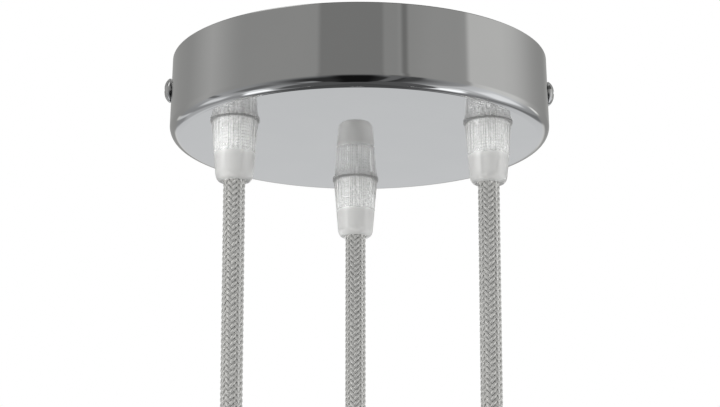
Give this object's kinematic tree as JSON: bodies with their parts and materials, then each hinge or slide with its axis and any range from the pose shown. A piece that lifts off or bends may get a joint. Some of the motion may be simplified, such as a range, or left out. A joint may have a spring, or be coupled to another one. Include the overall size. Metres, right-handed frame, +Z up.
{
  "type": "ceiling rose",
  "caption": "Round chrome-plated ceiling rose on a folded bracket, with clear screw-on cord grips and straight textile cords wired to a terminal block.",
  "frame": {"origin": "centre of the bracket's upper face, on the ceiling plane and the cup's axis", "axes": "+Z up into the ceiling along the cup's axis, X through the two side screws, -Y towards the pair of grips"},
  "size_m": [0.1238, 0.12, 0.146],
  "materials": {
    "polished_chrome": "mirror polished",
    "screw_chrome": "bright plated",
    "zinc_steel": "zinc plated",
    "brass": "machined",
    "tinned_copper": "tinned",
    "clear_plastic": "clear moulded",
    "frosted_plastic": "translucent moulded",
    "silver_textile": "braided rayon",
    "collar_sleeve": "shrunk sleeve",
    "brown_insulation": "smooth",
    "blue_insulation": "smooth",
    "green_yellow_insulation": "two-colour striped",
    "terminal_plastic": "natural nylon"
  },
  "bodies": {
    "root": {"rose_cup": "polished_chrome", "ceiling_bracket": "zinc_steel", "side_screws": "screw_chrome", "lock_washers": "zinc_steel", "lock_nuts": "zinc_steel", "terminal_block_body": "terminal_plastic", "terminal_sleeves": "brass", "terminal_screws": "zinc_steel", "earth_screw": "brass", "earth_ring_terminal": "tinned_copper", "earth_lead": "green_yellow_insulation", "ferrules": "tinned_copper", "grip_cap_back": "clear_plastic", "grip_cap_left": "clear_plastic", "grip_cap_right": "clear_plastic", "grip_rod_back": "frosted_plastic", "grip_rod_left": "frosted_plastic", "grip_rod_right": "frosted_plastic", "grip_collet_back": "frosted_plastic", "grip_collet_left": "frosted_plastic", "grip_collet_right": "frosted_plastic", "cord_back": "silver_textile", "cord_left": "silver_textile", "cord_right": "silver_textile", "end_collar_back": "collar_sleeve", "end_collar_left": "collar_sleeve", "end_collar_right": "collar_sleeve", "core_earth_back": "green_yellow_insulation", "core_earth_left": "green_yellow_insulation", "core_earth_right": "green_yellow_insulation", "core_blue_back": "blue_insulation", "core_blue_left": "blue_insulation", "core_blue_right": "blue_insulation", "core_brown_back": "brown_insulation", "core_brown_left": "brown_insulation", "core_brown_right": "brown_insulation"}
  },
  "joints": []
}
